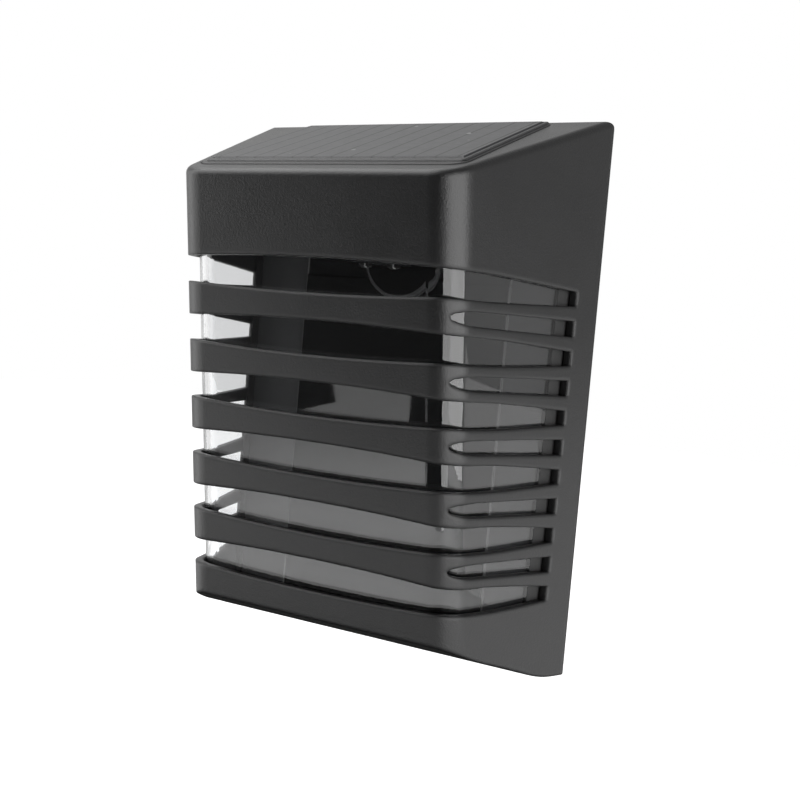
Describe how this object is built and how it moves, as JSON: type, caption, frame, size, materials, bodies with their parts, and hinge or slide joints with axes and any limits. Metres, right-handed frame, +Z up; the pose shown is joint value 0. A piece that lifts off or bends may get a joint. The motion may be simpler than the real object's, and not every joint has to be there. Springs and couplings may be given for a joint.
{
  "type": "solar wall light",
  "caption": "Matte black solar wall light with a sloping solar panel on top, a slatted front over a clear lens and a keyhole hanger.",
  "frame": {"origin": "on the wall plane, at the centre of the keyhole's round entry in the hanging boss", "axes": "+X to the right seen from the front, +Y into the wall, +Z up; the slatted front faces -Y"},
  "size_m": [0.1202, 0.0631, 0.1595],
  "materials": {
    "black_plastic": "fine moulded texture, matte black",
    "clear_plastic": "clear, polished",
    "seal": "soft grey-white foam",
    "bezel_plastic": "satin black",
    "panel_board": "dark laminate",
    "silicon": "dark grey silicon",
    "tinned_metal": "tinned strip",
    "panel_cover": "clear, glossy",
    "screw_steel": "zinc plated",
    "tray_plastic": "plain moulded black",
    "battery": "plain sleeve",
    "circuit_board": "green solder mask",
    "chip": "moulded epoxy",
    "can_metal": "plain can",
    "ferrite": "dull ferrite",
    "led": "white body, yellow phosphor",
    "wire": "insulated wire",
    "knob_plastic": "plain moulded black"
  },
  "bodies": {
    "light": {"front_housing": "black_plastic", "back_plate": "black_plastic", "clear_lens": "clear_plastic", "lens_seals": "seal", "panel_bezel": "bezel_plastic", "panel_seal": "seal", "panel_backing": "panel_board", "solar_cells": "silicon", "cell_ribbons": "tinned_metal", "panel_glass": "panel_cover", "back_screws": "screw_steel", "electronics_tray": "tray_plastic", "tray_screws": "screw_steel", "battery_holder": "tray_plastic", "battery_cell": "battery", "spring_contact": "tinned_metal", "tab_contact": "tinned_metal", "control_board": "circuit_board", "board_screws": "screw_steel", "controller_chip": "chip", "capacitor": "can_metal", "inductor": "ferrite", "led_board": "circuit_board", "led_emitters": "led", "led_leads": "wire", "solar_leads": "wire", "battery_leads": "wire", "switch_body": "chip", "switch_leads": "wire"},
    "switch_knob": {"switch_knob": "knob_plastic"}
  },
  "joints": [
    {"name": "switch_slide", "type": "slide", "parent": "light", "child": "switch_knob", "axis": [1, 0, 0], "range_m": [0, 0.002]}
  ]
}
